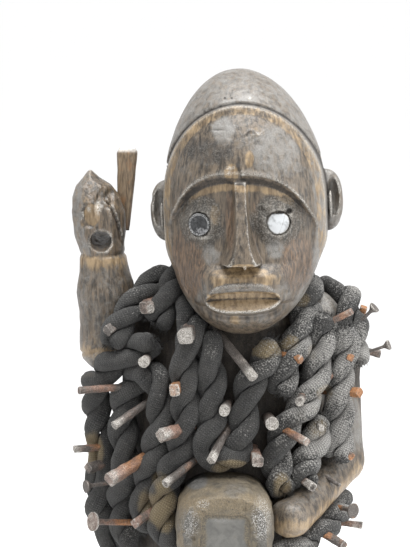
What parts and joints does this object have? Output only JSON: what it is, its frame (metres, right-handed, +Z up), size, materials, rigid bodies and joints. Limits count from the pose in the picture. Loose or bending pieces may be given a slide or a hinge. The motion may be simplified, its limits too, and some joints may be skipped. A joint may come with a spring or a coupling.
{
  "type": "nail fetish figure",
  "caption": "Carved wooden standing power figure with a raised bored fist and a belly packet, bound in rope and studded with nails",
  "frame": {"origin": "on the flat underside of the base, 10 mm behind its centre, under the body", "axes": "+Z up, the figure faces -Y, +X to the viewer's right"},
  "size_m": [0.2093, 0.1784, 0.6011],
  "materials": {
    "carved_wood": "old dark hardwood with grey dust in the hollows and worn tan edges, half matt",
    "haft_wood": "squared brown wood, grain along it, worn pale at the end",
    "packed_resin": "gritty ochre and olive resin crust, matt",
    "clouded_plate": "clouded grey plate under a film of dust",
    "eye_glass": "dark glassy disc, worn and dusty",
    "eye_shell": "white shell or glazed shard, soft gloss",
    "rope_cloth": "charcoal knitted cloth twisted into two-strand rope, dusty, matt",
    "rusty_iron": "hand-forged iron, pink-brown rust, pale dust, bright worn ends"
  },
  "bodies": {
    "root": {"figure": "carved_wood", "haft_stub": "haft_wood", "eye_disc": "eye_glass", "eye_inlay": "eye_shell", "belly_packet": "packed_resin", "packet_plate": "clouded_plate", "rope_centre_loop": "rope_cloth", "rope_left_middle": "rope_cloth", "rope_left_front": "rope_cloth", "rope_left_side": "rope_cloth", "rope_left_shoulder": "rope_cloth", "rope_neck": "rope_cloth", "rope_right_inner": "rope_cloth", "rope_right_middle": "rope_cloth", "rope_right_front": "rope_cloth", "rope_right_shoulder": "rope_cloth", "rope_short": "rope_cloth", "rope_back_loop": "rope_cloth", "rope_waist": "rope_cloth", "nail_01": "rusty_iron", "spike_02": "rusty_iron", "spike_03": "rusty_iron", "peg_04": "rusty_iron", "peg_05": "rusty_iron", "spike_06": "rusty_iron", "spike_07": "rusty_iron", "peg_08": "rusty_iron", "spike_09": "rusty_iron", "peg_10": "rusty_iron", "spike_11": "rusty_iron", "spike_12": "rusty_iron", "nail_13": "rusty_iron", "spike_14": "rusty_iron", "peg_15": "rusty_iron", "spike_16": "rusty_iron", "spike_17": "rusty_iron", "nail_18": "rusty_iron", "peg_19": "rusty_iron", "spike_20": "rusty_iron", "spike_21": "rusty_iron", "nail_22": "rusty_iron", "spike_23": "rusty_iron", "nail_24": "rusty_iron", "spike_25": "rusty_iron", "nail_26": "rusty_iron", "spike_27": "rusty_iron", "peg_28": "rusty_iron", "peg_29": "rusty_iron", "spike_30": "rusty_iron", "spike_31": "rusty_iron", "spike_32": "rusty_iron", "nail_33": "rusty_iron", "spike_34": "rusty_iron", "spike_36": "rusty_iron", "nail_37": "rusty_iron", "spike_38": "rusty_iron", "spike_back_1": "rusty_iron", "spike_back_2": "rusty_iron", "nail_back_3": "rusty_iron"}
  },
  "joints": []
}
